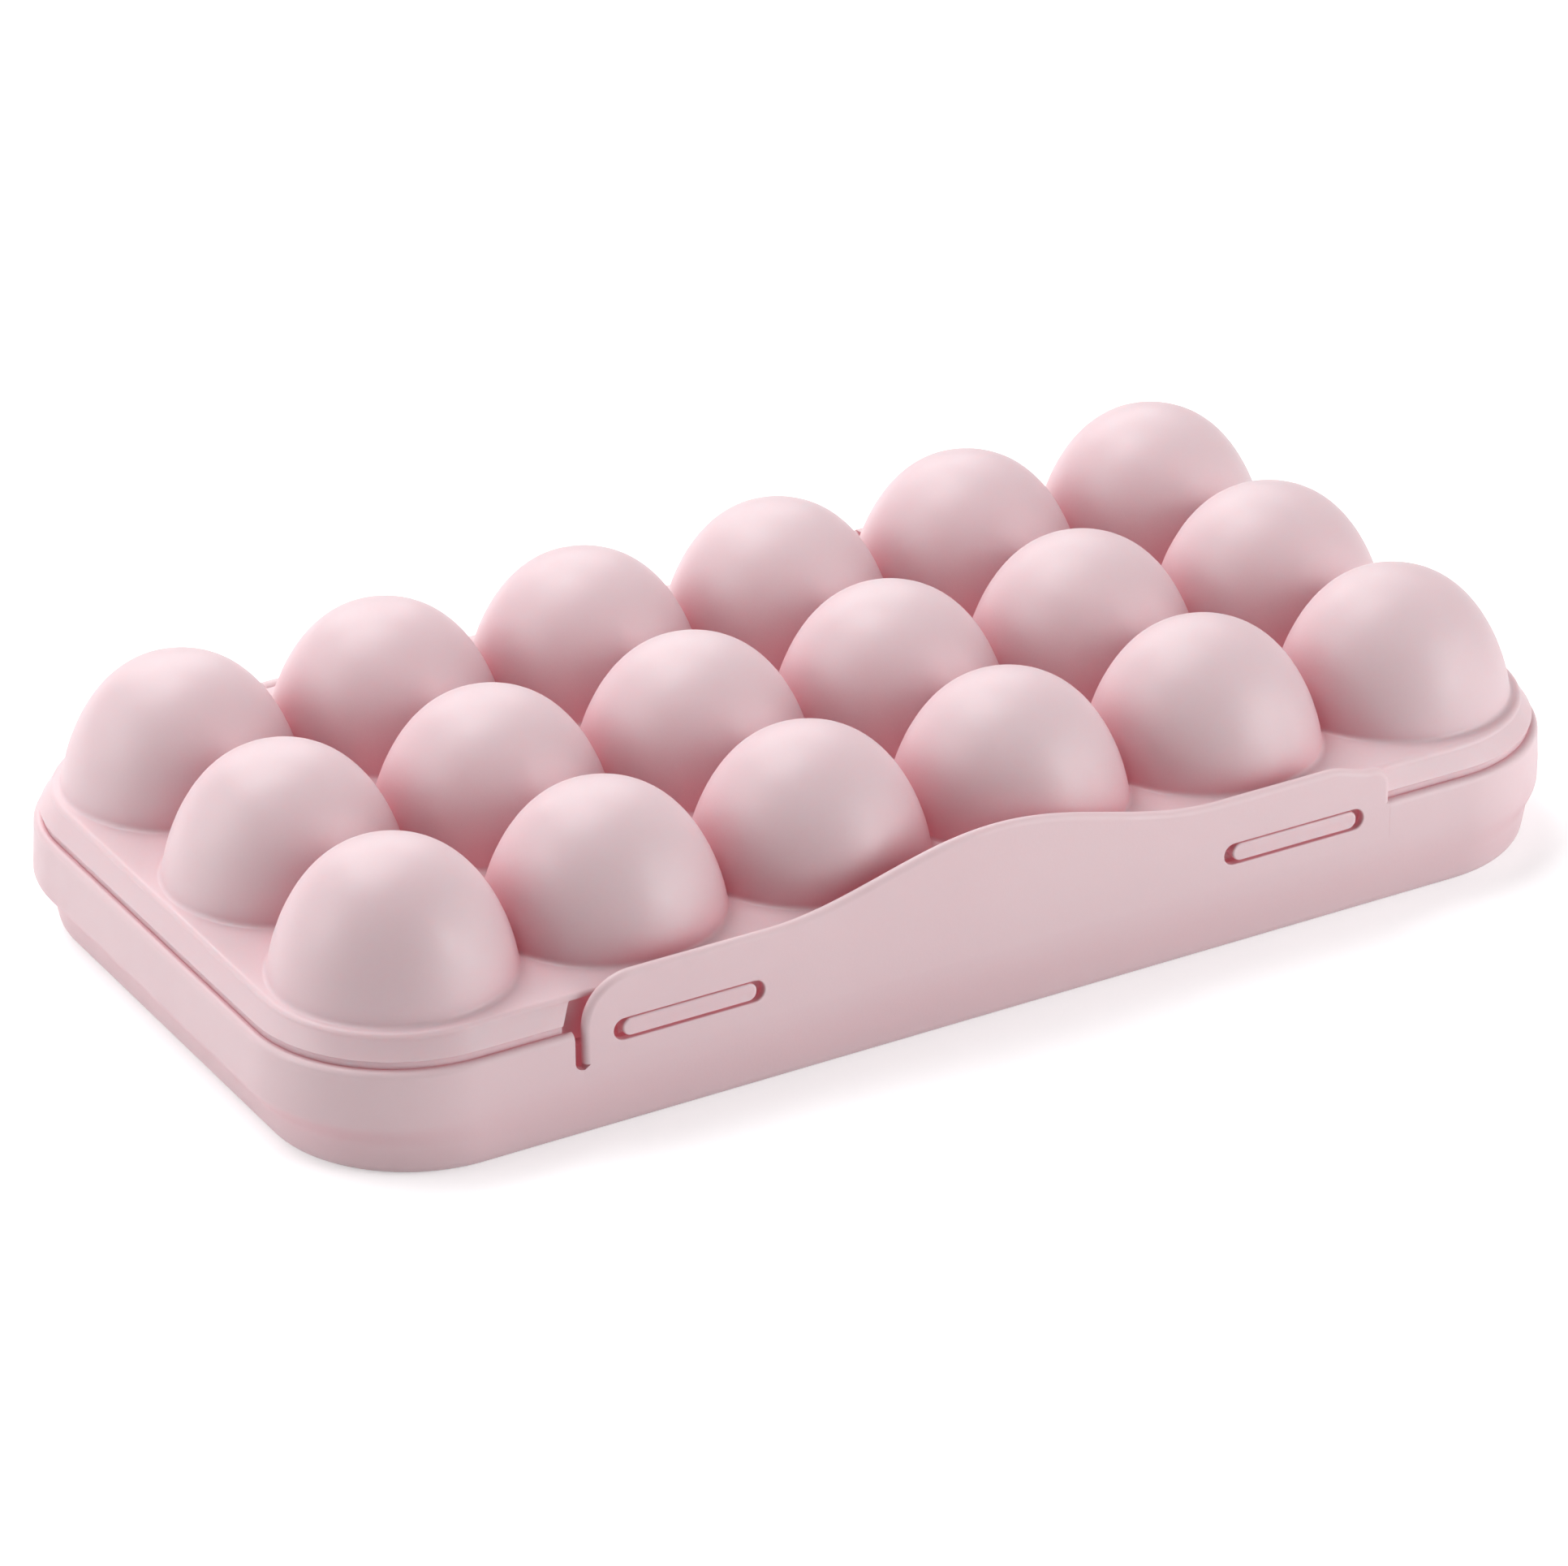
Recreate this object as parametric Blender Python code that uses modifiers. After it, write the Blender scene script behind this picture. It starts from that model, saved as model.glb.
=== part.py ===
"""Egg storage box for eighteen eggs: a tray with a drop-in rack of egg cups, a hinged lid of egg-shaped
domes, and a springy latch panel cut out of the tray's front wall, whose two slots catch lugs on the lid.

Metres, +Z up, the front faces -Y. The origin is under the middle of the egg grid, on the table.
"""

import math

import bmesh
import bpy

# Egg grid
COLUMNS = 6
ROWS = 3
PITCH = 0.052

# Tray: outer sizes, walls, and the step below the rim band, which flares a little, at the ends and back
END_MARGIN = 0.0345
FRONT_MARGIN = 0.0355
RIM_CORNER_R = 0.037
TRAY_H = 0.0266
TRAY_WALL = 0.0020
TRAY_FLOOR = 0.0020
LIP_OUTER_R = 0.0016
LIP_INNER_R = 0.0003
RIM_BAND_H = 0.0128
BAND_FLARE = 0.0006
STEP_H = 0.0072
STEP_INSET = 0.0034
LOWER_LEAN = 0.0010
LOWER_CORNER_R = 0.0340
FRONT_LEAN = 0.0015
FOOT_FILLET_R = 0.0025

# Lid: deck, leaning flange, and the skirt that drops inside the tray
LID_WALL = 0.0015
PARTING_GAP = 0.0019
FLANGE_H = 0.0053
FLANGE_SET = 0.0007
FLANGE_LEAN = 0.0033
FLANGE_EDGE_R = 0.0011
SKIRT_DROP = 0.0044
SKIRT_CLEARANCE = 0.0006

# Domes over the eggs
DOME_R = 0.0274
DOME_H = 0.0297
DOME_CROWN_WALL = 0.0015
CAVITY_R = 0.0252
DOME_RISE_POWER = 1.4555
DOME_ROUND_POWER = 2.4821
DOME_SIDES = 20
CAVITY_SIDES = 16
DOME_HEIGHT_SHARES = (0.0, 0.22, 0.48, 0.72, 0.90, 1.0)
CAVITY_HEIGHT_SHARES = (0.0, 0.32, 0.64, 0.88, 1.0)

# Rack of egg cups
RACK_WALL = 0.0014
RACK_DROP = 0.0008
RACK_CLEARANCE = 0.0008
RACK_RIM_H = 0.0060
RACK_EDGE_R = 0.0008
CUP_R = 0.0232
CUP_FOOT_R = 0.0090
CUP_SIDES = 14
CUP_DEPTH_SHARES = (0.0, 0.45, 0.82, 1.0)

# Latch panel: set a little right of the middle, wide open at its left end and close at its right end
LATCH_X = 0.0018
LATCH_HALF_W = 0.1042
LATCH_SLIT_DEPTH = 0.0090
LATCH_SHOULDER_RISE = 0.0046
LATCH_CREST_RISE = 0.0101
LATCH_CREST_HALF_W = 0.0585
LATCH_CORNER_R = 0.0092
LATCH_FALL = 0.0040
LATCH_FALL_L = 0.0210
LATCH_FALL_R = 0.0015
LATCH_FOOT_R = 0.0020
OPEN_SLIT_W = 0.0023
CLOSE_SLIT_W = 0.0004
NOTCH_CLEARANCE = 0.0044
NOTCH_SLANT = 0.0030
SKIRT_RELIEF_W = 0.0056
LATCH_SEAM = 0.0004

# Slots in the panel, and the lid's lugs that stand in them
SLOT_END_MARGIN = 0.0073
SLOT_DROP = 0.0020
SLOT_LENGTH = 0.0374
SLOT_H = 0.0052
LUG_END_GAP = 0.0026
LUG_EDGE_GAP = 0.0004
LUG_PROUD = 0.0003

# Hinges on the back
HINGE_X = 0.078
HINGE_OFFSET = 0.0036
KNUCKLE_R = 0.0030
KNUCKLE_W = 0.014
EAR_W = 0.005
EAR_H = 0.009
HINGE_END_GAP = 0.0004
PIN_R = 0.0012
PIN_CLEARANCE = 0.0002
PIN_HEAD_R = 0.0021
PIN_HEAD_T = 0.0010

# Shared small sizes
SEAT_GAP = 0.0003
JOIN = 0.0010
OVERRUN = 0.0040
CORNER_STEPS = 7
ROUND_STEPS = 3
STEP_STEPS = 5
SHOULDER_STEPS = 6
WAVE_STEPS = 18
PINK = (0.78, 0.56, 0.60, 1.0)
PINK_ROUGHNESS = 0.42

# Places worked out from the sizes
HALF_L = PITCH * (COLUMNS - 1) / 2 + END_MARGIN
HALF_W = PITCH * (ROWS - 1) / 2 + FRONT_MARGIN
DECK_Z = TRAY_H + PARTING_GAP + FLANGE_H
LATCH_ROOT_Z = TRAY_H - LATCH_SLIT_DEPTH
LATCH_SHOULDER_Z = DECK_Z + LATCH_SHOULDER_RISE
SLOT_Z = TRAY_H - SLOT_DROP
SLOT_OFFSET = LATCH_HALF_W - SLOT_END_MARGIN - SLOT_LENGTH / 2
FLANGE_BOTTOM_Z = TRAY_H + PARTING_GAP
SKIRT_INSET = TRAY_WALL + SKIRT_CLEARANCE
SKIRT_BOTTOM_Z = TRAY_H - SKIRT_DROP
RACK_INSET = SKIRT_INSET + LID_WALL + RACK_CLEARANCE
RACK_Z = SKIRT_BOTTOM_Z - RACK_DROP
HINGE_Y = HALF_W + HINGE_OFFSET
HINGE_Z = TRAY_H + PARTING_GAP / 2


def clear_scene():
    """Removes what the scene holds and makes the collections for the parts and the cutters."""
    for obj in list(bpy.data.objects):
        bpy.data.objects.remove(obj)
    made = []
    for name in ("egg_storage_box", "cutters"):
        collection = bpy.data.collections.new(name)
        bpy.context.scene.collection.children.link(collection)
        made.append(collection)
    return made


def plastic(name, colour, roughness):
    """A plain Principled material."""
    material = bpy.data.materials.new(name)
    material.use_nodes = True
    shader = material.node_tree.nodes["Principled BSDF"]
    shader.inputs["Base Color"].default_value = colour
    shader.inputs["Roughness"].default_value = roughness
    shader.inputs["Metallic"].default_value = 0.0
    material.diffuse_color = colour
    return material


def add_object(name, mesh, collection, material=None):
    obj = bpy.data.objects.new(name, mesh)
    collection.objects.link(obj)
    if material:
        mesh.materials.append(material)
    return obj


def as_helper(obj):
    """Marks a cutter or a joined shape, which is not a part of its own."""
    obj.hide_render = True
    obj.display_type = "WIRE"
    return obj


def helper_collection(name):
    collection = bpy.data.collections.new(name)
    CUTTERS.children.link(collection)
    return collection


def boolean(obj, operation, collection):
    """Joins or cuts an object with everything in a collection."""
    modifier = obj.modifiers.new(collection.name, "BOOLEAN")
    modifier.operation = operation
    modifier.operand_type = "COLLECTION"
    modifier.collection = collection
    modifier.solver = "EXACT"


def outline(z, end_inset, front_inset, radius):
    """A rounded rectangle at height z; one inset holds for the ends and the back, the other in front."""
    points = []
    right, front, back = HALF_L - end_inset, front_inset - HALF_W, HALF_W - end_inset
    corners = (
        (right - radius, front + radius, -90),
        (right - radius, back - radius, 0),
        (radius - right, back - radius, 90),
        (radius - right, front + radius, 180),
    )
    for x, y, start in corners:
        for step in range(CORNER_STEPS + 1):
            turn = math.radians(start + 90 * step / CORNER_STEPS)
            points.append((x + radius * math.cos(turn), y + radius * math.sin(turn), z))
    return points


def even_outline(z, inset):
    """The rim band's outline moved inwards by the same amount all round."""
    return outline(z, inset, inset, RIM_CORNER_R - inset)


def wall_ring(z, inset):
    """A ring at height z, this far inside the tray's outer face.

    The ends and the back flare down the rim band, step in below it and lean in to the foot. The front
    leans in a little from the latch panel's root to the foot.
    """
    share = min(max((TRAY_H - RIM_BAND_H - z) / STEP_H, 0), 1)
    flare = BAND_FLARE * min((TRAY_H - z) / RIM_BAND_H, 1)
    lower_lean = LOWER_LEAN * max(1 - z / (TRAY_H - RIM_BAND_H - STEP_H), 0)
    step_in = (STEP_INSET + BAND_FLARE) * (1 - math.cos(math.pi * share)) / 2 - flare + lower_lean
    lean = FRONT_LEAN * max(1 - z / LATCH_ROOT_Z, 0)
    radius = RIM_CORNER_R + (LOWER_CORNER_R - RIM_CORNER_R) * share
    return outline(z, step_in + inset, lean + inset, radius - inset)


def loft(rings):
    """A closed skin through rings of equal count, with a flat cap on the first and the last."""
    shape = bmesh.new()
    rows = [[shape.verts.new(point) for point in ring] for ring in rings]
    for low, high in zip(rows, rows[1:]):
        for k in range(len(low)):
            n = (k + 1) % len(low)
            shape.faces.new((low[k], low[n], high[n], high[k]))
    shape.faces.new(list(reversed(rows[0])))
    shape.faces.new(rows[-1])
    bmesh.ops.recalc_face_normals(shape, faces=shape.faces)
    mesh = bpy.data.meshes.new("loft")
    shape.to_mesh(mesh)
    shape.free()
    return mesh


def round_over(radius, steps=ROUND_STEPS):
    """(inset, rise) of a convex quarter round that starts upright and ends level."""
    for step in range(1, steps + 1):
        turn = math.pi / 2 * step / steps
        yield radius * (1 - math.cos(turn)), radius * math.sin(turn)


def smooth_by_angle(mesh):
    mesh.shade_smooth()
    mesh.set_sharp_from_angle(angle=math.radians(32))


def turned(name, profile, sides, collection):
    """A round shape from a profile that runs down its outer side and starts and ends on the axis."""
    mesh = bpy.data.meshes.new(name)
    edges = [(k, k + 1) for k in range(len(profile) - 1)]
    mesh.from_pydata([(r, 0, z) for r, z in profile], edges, [])
    obj = as_helper(add_object(name, mesh, collection))
    screw = obj.modifiers.new("turn", "SCREW")
    screw.steps = sides
    screw.render_steps = sides
    screw.use_merge_vertices = True
    screw.merge_threshold = LATCH_SEAM / 8
    screw.use_smooth_shade = False
    return obj


def at_each_egg(first, collection):
    """Copies a shape to every place of the egg grid; the first one takes the first place."""
    places = [
        ((column - (COLUMNS - 1) / 2) * PITCH, (row - (ROWS - 1) / 2) * PITCH)
        for row in range(ROWS)
        for column in range(COLUMNS)
    ]
    for number, (x, y) in enumerate(places):
        obj = first if number == 0 else first.copy()
        if number:
            collection.objects.link(obj)
        obj.location.x = x
        obj.location.y = y


def flat_plate(name, outlines, thickness, collection):
    """A plate in the XZ plane from a 2D curve; the first outline is its edge, the rest are holes."""
    curve = bpy.data.curves.new(name, "CURVE")
    curve.dimensions = "2D"
    curve.fill_mode = "BOTH"
    curve.extrude = thickness / 2
    for points in outlines:
        spline = curve.splines.new("POLY")
        spline.points.add(len(points) - 1)
        for point, (x, z) in zip(spline.points, points):
            point.co = (x, z, 0, 1)
        spline.use_cyclic_u = True
    guide = bpy.data.objects.new(name, curve)
    collection.objects.link(guide)
    guide.rotation_euler.x = math.radians(90)
    bpy.context.view_layer.update()
    graph = bpy.context.evaluated_depsgraph_get()
    mesh = bpy.data.meshes.new_from_object(guide.evaluated_get(graph))
    place = guide.matrix_world.copy()
    bpy.data.objects.remove(guide)
    mesh.transform(place)
    shape = bmesh.new()
    shape.from_mesh(mesh)
    bmesh.ops.remove_doubles(shape, verts=shape.verts, dist=SEAT_GAP / 100)
    bmesh.ops.recalc_face_normals(shape, faces=shape.faces)
    shape.to_mesh(mesh)
    shape.free()
    return add_object(name, mesh, collection)


def stadium(x, z, length, height, steps=6):
    """A slot's outline: a bar with half-round ends."""
    radius = height / 2
    points = []
    for centre, start in ((x + length / 2 - radius, -90), (x - length / 2 + radius, 90)):
        for step in range(steps + 1):
            turn = math.radians(start + 180 * step / steps)
            points.append((centre + radius * math.cos(turn), z + radius * math.sin(turn)))
    return points


def make_tray(material):
    """The tray's shell in one skin: foot, outer wall, lip, inner wall and floor."""
    step_z = TRAY_H - RIM_BAND_H - STEP_H
    heights = [FOOT_FILLET_R] + [step_z + STEP_H * k / STEP_STEPS for k in range(STEP_STEPS + 1)]
    foot = [wall_ring(FOOT_FILLET_R - rise, inset) for inset, rise in round_over(FOOT_FILLET_R)]
    rings = list(reversed(foot))
    lip_z, inner_lip_z = TRAY_H - LIP_OUTER_R, TRAY_H - LIP_INNER_R
    rings += [wall_ring(z, 0) for z in heights + [LATCH_ROOT_Z, lip_z]]
    rings += [wall_ring(lip_z + rise, inset) for inset, rise in round_over(LIP_OUTER_R)]
    rings += [wall_ring(z, TRAY_WALL - inset) for inset, z in ((LIP_INNER_R, TRAY_H), (0, inner_lip_z))]
    rings += [wall_ring(z, TRAY_WALL) for z in [LATCH_ROOT_Z] + heights[::-1]]
    inner_r = FOOT_FILLET_R - TRAY_WALL
    floor_edge = [(TRAY_WALL + inset, FOOT_FILLET_R - rise) for inset, rise in round_over(inner_r)]
    rings += [wall_ring(z, inset) for inset, z in floor_edge]
    tray = add_object("base_tray", loft(rings), PARTS, material)

    ears = helper_collection("tray_ears")
    for side in (-1, 1):
        for end in (-1, 1):
            place = side * HINGE_X + end * (KNUCKLE_W / 2 + HINGE_END_GAP + EAR_W / 2)
            hinge_leaf(f"ear_{side}_{end}", place, EAR_W, ear_profile(), ears)
    boolean(tray, "UNION", ears)

    cuts = helper_collection("tray_cuts")
    latch_window(cuts)
    for side in (-1, 1):
        pin_bore(f"ear_bore_{side}", side * HINGE_X, cuts)
    boolean(tray, "DIFFERENCE", cuts)
    return tray


def latch_window(collection):
    """Cuts the latch panel's window out of the front wall; its slits curve in at their feet."""
    low, high = LATCH_ROOT_Z - LATCH_SEAM / 2, TRAY_H + OVERRUN
    left = LATCH_X - LATCH_HALF_W - OPEN_SLIT_W
    right = LATCH_X + LATCH_HALF_W + CLOSE_SLIT_W
    open_r, close_r = min(LATCH_FOOT_R, OPEN_SLIT_W), min(LATCH_FOOT_R, CLOSE_SLIT_W)
    points = [(right, high), (left, high)]
    for centre_x, radius, start in ((left + open_r, open_r, 180), (right - close_r, close_r, 270)):
        for step in range(ROUND_STEPS + 1):
            turn = math.radians(start + 90 * step / ROUND_STEPS)
            points.append((centre_x + radius * math.cos(turn), low + radius * (1 + math.sin(turn))))
    window = flat_plate("latch_window", [points], 2 * TRAY_WALL + OVERRUN, collection)
    window.location.y = TRAY_WALL / 2 - HALF_W
    return as_helper(window)


def ear_profile():
    """(y, z) outline of a tray ear round the hinge axis, reaching into the tray's back wall."""
    root_y = HALF_W - TRAY_WALL / 2
    points = [(root_y, TRAY_H - EAR_H), (root_y, TRAY_H - LIP_OUTER_R)]
    for step in range(9):
        turn = math.radians(170 - 260 * step / 8)
        points.append((HINGE_Y + KNUCKLE_R * math.cos(turn), HINGE_Z + KNUCKLE_R * math.sin(turn)))
    return points


def knuckle_profile():
    """(y, z) outline of a lid knuckle round the hinge axis, reaching into the lid's flange."""
    low_y = HALF_W - FLANGE_SET - LID_WALL / 2
    high_y = low_y - FLANGE_LEAN * 2 / 3
    points = [(high_y, DECK_Z - FLANGE_EDGE_R - LID_WALL / 2)]
    for step in range(9):
        turn = math.radians(75 - 265 * step / 8)
        points.append((HINGE_Y + KNUCKLE_R * math.cos(turn), HINGE_Z + KNUCKLE_R * math.sin(turn)))
    points.append((low_y, FLANGE_BOTTOM_Z + LID_WALL / 6))
    return points


def hinge_leaf(name, x, width, profile, collection):
    """A hinge ear or knuckle: its side profile made as wide as it is."""
    rings = [[(x + side * width / 2, y, z) for y, z in profile] for side in (-1, 1)]
    return as_helper(add_object(name, loft(rings), collection))


def pin_bore(name, x, collection):
    """A cutter for the pin's running hole through one hinge."""
    reach = KNUCKLE_W + 2 * (HINGE_END_GAP + EAR_W) + OVERRUN
    bpy.ops.mesh.primitive_cylinder_add(
        vertices=12,
        radius=PIN_R + PIN_CLEARANCE,
        depth=reach,
        location=(x, HINGE_Y, HINGE_Z),
        rotation=(0, math.radians(90), 0),
    )
    obj = bpy.context.object
    obj.name = name
    for owner in list(obj.users_collection):
        owner.objects.unlink(obj)
    collection.objects.link(obj)
    return as_helper(obj)


def make_pin(name, side, material):
    """A hinge pin with a low head on its outer end, lying in the tray's two ears."""
    half = KNUCKLE_W / 2 + HINGE_END_GAP + EAR_W
    tip = PIN_R / 3
    profile = [
        (0, half + SEAT_GAP + PIN_HEAD_T),
        (PIN_HEAD_R - tip, half + SEAT_GAP + PIN_HEAD_T),
        (PIN_HEAD_R, half + SEAT_GAP + PIN_HEAD_T - tip),
        (PIN_HEAD_R, half + SEAT_GAP),
        (PIN_R, half + SEAT_GAP),
        (PIN_R, tip - half),
        (PIN_R - tip, -half),
        (0, -half),
    ]
    pin = turned(name, profile, 12, PARTS)
    pin.hide_render = False
    pin.display_type = "SOLID"
    pin.data.materials.append(material)
    pin.rotation_euler.y = math.radians(90 * side)
    pin.location = (side * HINGE_X, HINGE_Y, HINGE_Z)
    return pin


def cup_profile(radius, floor_z, top_z, flare):
    """(r, z) down the outside of an egg cup's bowl, closed on the axis; flare reaches above the plate."""
    depth = top_z - floor_z
    points = [(0, top_z + flare), (radius, top_z + flare)]
    for share in CUP_DEPTH_SHARES:
        r = CUP_FOOT_R + (radius - CUP_FOOT_R) * math.sqrt(1 - share * share)
        points.append((r, top_z - depth * share))
    points.append((0, floor_z))
    return points if flare else points[:1] + points[2:]


def make_rack(material):
    """The drop-in rack: a plate with a turned-down rim and a bowl for each egg."""
    top, under = RACK_Z, RACK_Z - RACK_WALL
    rings = [even_outline(top, RACK_INSET + RACK_EDGE_R)]
    edge = [(inset, rise - RACK_EDGE_R) for inset, rise in round_over(RACK_EDGE_R)][:-1]
    rings += [even_outline(top + drop, RACK_INSET + inset) for inset, drop in reversed(edge)]
    rings.append(even_outline(top - RACK_EDGE_R, RACK_INSET))
    rings.append(even_outline(top - RACK_RIM_H, RACK_INSET))
    rings.append(even_outline(top - RACK_RIM_H, RACK_INSET + RACK_WALL))
    rings.append(even_outline(under, RACK_INSET + RACK_WALL))
    rack = add_object("egg_rack", loft(rings), PARTS, material)

    foot = TRAY_FLOOR + SEAT_GAP
    bowls = helper_collection("rack_bowls")
    profile = cup_profile(CUP_R + RACK_WALL, foot, under + RACK_WALL / 2, 0)
    at_each_egg(turned("bowl", profile, CUP_SIDES, bowls), bowls)
    boolean(rack, "UNION", bowls)
    hollows = helper_collection("rack_hollows")
    profile = cup_profile(CUP_R, foot + RACK_WALL, top, OVERRUN)
    at_each_egg(turned("bowl_hollow", profile, CUP_SIDES, hollows), hollows)
    boolean(rack, "DIFFERENCE", hollows)
    return rack


def dome_profile(radius, height, root_z, base_z, shares):
    """(r, z) down an egg-shaped dome from its crown to a straight root, closed on the axis."""
    points = []
    for share in reversed(shares):
        round_share = (1 - share**DOME_RISE_POWER) ** (1 / DOME_ROUND_POWER)
        points.append((radius * round_share, base_z + height * share))
    return points + [(radius, root_z), (0, root_z)]


def make_lid(material):
    """The lid's deck, flange and skirt in one skin, then domes, lugs and hinge knuckles joined on."""
    under = DECK_Z - LID_WALL
    lean_top = FLANGE_SET + FLANGE_LEAN
    rings = [even_outline(DECK_Z, lean_top + FLANGE_EDGE_R)]
    edge = [(inset, rise - FLANGE_EDGE_R) for inset, rise in round_over(FLANGE_EDGE_R)][:-1]
    rings += [even_outline(DECK_Z + drop, lean_top + inset) for inset, drop in reversed(edge)]
    rings.append(even_outline(DECK_Z - FLANGE_EDGE_R, lean_top))
    rings.append(even_outline(FLANGE_BOTTOM_Z, FLANGE_SET))
    rings.append(even_outline(FLANGE_BOTTOM_Z, FLANGE_SET + LID_WALL))
    skirt_top = min(SKIRT_INSET, lean_top + LID_WALL)
    rings.append(even_outline(FLANGE_BOTTOM_Z + LID_WALL / 4, max(skirt_top, FLANGE_SET + LID_WALL)))
    rings.append(even_outline(SKIRT_BOTTOM_Z, SKIRT_INSET))
    rings.append(even_outline(SKIRT_BOTTOM_Z, SKIRT_INSET + LID_WALL))
    rings.append(even_outline(FLANGE_BOTTOM_Z, SKIRT_INSET + LID_WALL))
    rings.append(even_outline(under, lean_top + LID_WALL + FLANGE_EDGE_R))
    lid = add_object("lid", loft(rings), PARTS, material)

    joined = helper_collection("lid_domes")
    profile = dome_profile(DOME_R, DOME_H, under + LID_WALL / 3, DECK_Z, DOME_HEIGHT_SHARES)
    at_each_egg(turned("dome", profile, DOME_SIDES, joined), joined)
    for side in (-1, 1):
        hinge_leaf(f"knuckle_{side}", side * HINGE_X, KNUCKLE_W, knuckle_profile(), joined)
    boolean(lid, "UNION", joined)

    cuts = helper_collection("lid_cuts")
    profile = dome_profile(
        CAVITY_R, DOME_H - DOME_CROWN_WALL, under - OVERRUN, DECK_Z, CAVITY_HEIGHT_SHARES
    )
    at_each_egg(turned("cavity", profile, CAVITY_SIDES, cuts), cuts)
    for side in (-1, 1):
        pin_bore(f"knuckle_bore_{side}", side * HINGE_X, cuts)
    left = LATCH_X - LATCH_HALF_W - NOTCH_CLEARANCE
    right = LATCH_X + LATCH_HALF_W + CLOSE_SLIT_W
    through = lean_top + LID_WALL + FLANGE_EDGE_R + JOIN
    notch_cutter("latch_notch", left, right, NOTCH_SLANT, SKIRT_INSET, cuts)
    notch_cutter("left_relief", left, left + SKIRT_RELIEF_W, NOTCH_SLANT, through, cuts)
    notch_cutter("right_relief", right - SKIRT_RELIEF_W, right, 0, through, cuts)
    boolean(lid, "DIFFERENCE", cuts)

    lugs = helper_collection("lid_lugs")
    reach = SKIRT_INSET + LUG_PROUD + LID_WALL / 2
    length, height = SLOT_LENGTH - 2 * LUG_END_GAP, SLOT_H - 2 * LUG_EDGE_GAP
    for side in (-1, 1):
        shape = [stadium(LATCH_X + side * SLOT_OFFSET, SLOT_Z, length, height)]
        lug = flat_plate(f"lug_{side}", shape, reach, lugs)
        lug.location.y = reach / 2 - LUG_PROUD - HALF_W
        as_helper(lug)
    boolean(lid, "UNION", lugs)
    return lid


def notch_cutter(name, left, right, slant, inset, collection):
    """A cutter for the lid's front, this far in; its left side slants over towards the deck."""
    low, high = SKIRT_BOTTOM_Z - OVERRUN, DECK_Z - LID_WALL * 2 / 3
    points = [(right, low), (right, high), (left + slant, high), (left, FLANGE_BOTTOM_Z), (left, low)]
    notch = flat_plate(name, [points], inset + OVERRUN, collection)
    notch.location.y = (inset - OVERRUN) / 2 - HALF_W
    return as_helper(notch)


def latch_outline():
    """(x, z) round the latch panel: a round left shoulder, a falling right one and a wave between them."""
    low = LATCH_ROOT_Z + LATCH_SEAM / 2
    left, right = LATCH_X - LATCH_HALF_W, LATCH_X + LATCH_HALF_W
    points = [(left, low), (right, low), (right, LATCH_SHOULDER_Z - LATCH_FALL - LATCH_FALL_R)]
    for step in range(SHOULDER_STEPS + 1):
        share = step / SHOULDER_STEPS
        drop = LATCH_FALL * (1 + math.cos(math.pi * share)) / 2
        x = right - LATCH_FALL_R - (LATCH_FALL_L - LATCH_FALL_R) * share
        points.append((x, LATCH_SHOULDER_Z - drop))
    for step in range(WAVE_STEPS + 1):
        share = 1 - 2 * step / WAVE_STEPS
        rise = LATCH_CREST_RISE * (1 + math.cos(math.pi * share)) / 2
        points.append((LATCH_X + LATCH_CREST_HALF_W * share, LATCH_SHOULDER_Z + rise))
    for step in range(SHOULDER_STEPS + 1):
        turn = math.radians(90 + 90 * step / SHOULDER_STEPS)
        x = left + LATCH_CORNER_R * (1 + math.cos(turn))
        points.append((x, LATCH_SHOULDER_Z - LATCH_CORNER_R * (1 - math.sin(turn))))
    return points


def make_latch(material):
    """The springy front panel with its two slots; it bends about its root line."""
    outlines = [latch_outline()]
    for side in (-1, 1):
        outlines.append(stadium(LATCH_X + side * SLOT_OFFSET, SLOT_Z, SLOT_LENGTH, SLOT_H))
    latch = flat_plate("latch_panel", outlines, TRAY_WALL, PARTS)
    latch.data.materials.append(material)
    root = bpy.data.objects.new("latch_root_line", None)
    PARTS.objects.link(root)
    root.location = (0, TRAY_WALL / 2 - HALF_W, LATCH_ROOT_Z)
    latch.parent = root
    latch.location.z = -LATCH_ROOT_Z
    return latch


def make_box():
    pink = plastic("pink_plastic", PINK, PINK_ROUGHNESS)
    make_tray(pink)
    make_rack(pink)
    make_latch(pink)
    make_lid(pink)
    for name, side in (("hinge_pin_left", -1), ("hinge_pin_right", 1)):
        make_pin(name, side, pink)
    for obj in PARTS.objects:
        if obj.type == "MESH":
            smooth_by_angle(obj.data)


PARTS, CUTTERS = clear_scene()
make_box()
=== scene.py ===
import math

import bmesh
import bpy
from mathutils import Matrix, Vector


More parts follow.
